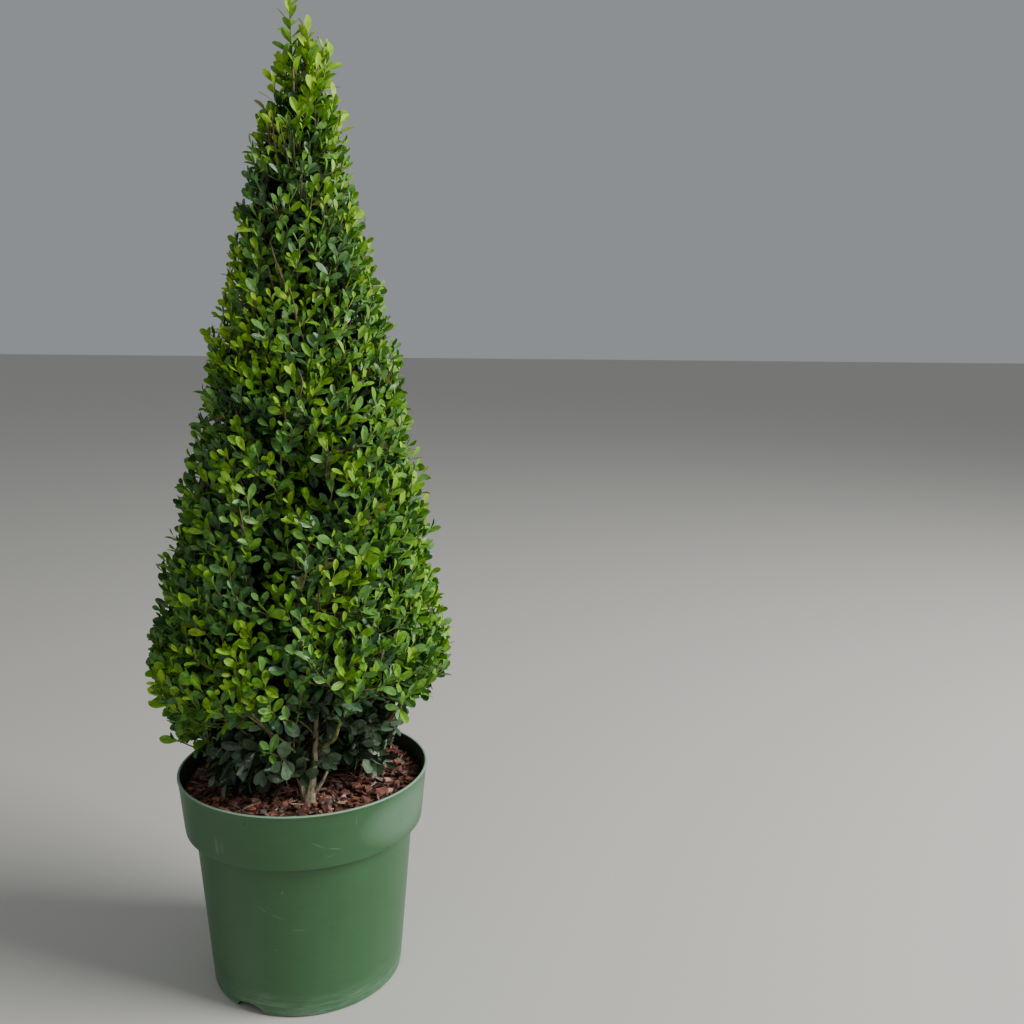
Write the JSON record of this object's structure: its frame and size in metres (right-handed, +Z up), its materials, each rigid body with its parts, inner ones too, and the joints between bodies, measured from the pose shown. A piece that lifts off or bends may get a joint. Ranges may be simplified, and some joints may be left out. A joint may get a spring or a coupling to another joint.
{
  "type": "potted clipped holly cone",
  "caption": "Small-leaved holly clipped to a bulging cone, with leader shoots at its tip, growing in a green plastic nursery pot topped with bark.",
  "frame": {"origin": "on the pot's axis at its flat underside", "axes": "+Z up along the pot's axis, +Y away from the picture's viewpoint, +X to the viewer's right"},
  "size_m": [0.247, 0.2466, 0.7924],
  "materials": {
    "pot_plastic": "satin moulded green plastic with fine scratches and pale scuffs at the foot",
    "bark_mulch": "moist compost under red-brown bark chips",
    "stem_bark": "grey-tan young bark with fine relief",
    "foliage": "glossy small evergreen leaves, dark inside and yellow-green at the fresh tips"
  },
  "bodies": {
    "root": {"back_stem": "stem_bark", "bough_lower_back_left": "stem_bark", "bough_lower_back_right": "stem_bark", "bough_lower_front_left": "stem_bark", "bough_lower_front_right": "stem_bark", "bough_middle_back": "stem_bark", "bough_middle_front_left": "stem_bark", "bough_middle_front_right": "stem_bark", "bough_shoulder_left": "stem_bark", "bough_shoulder_right": "stem_bark", "bough_upper_front": "stem_bark", "bough_upper_left": "stem_bark", "bough_upper_right": "stem_bark", "front_stem": "stem_bark", "left_stem": "stem_bark", "lower_back_left": "foliage", "lower_back_right": "foliage", "lower_front_left": "foliage", "lower_front_right": "foliage", "middle_back": "foliage", "middle_front_left": "foliage", "middle_front_right": "foliage", "pot": "pot_plastic", "right_stem": "stem_bark", "root_ball": "bark_mulch", "shoulder_left": "foliage", "shoulder_right": "foliage", "skirt_back": "foliage", "skirt_front": "foliage", "skirt_left": "foliage", "skirt_right": "foliage", "tip_shoots": "foliage", "trunk": "stem_bark", "upper_front": "foliage", "upper_left": "foliage", "upper_right": "foliage"}
  },
  "joints": []
}
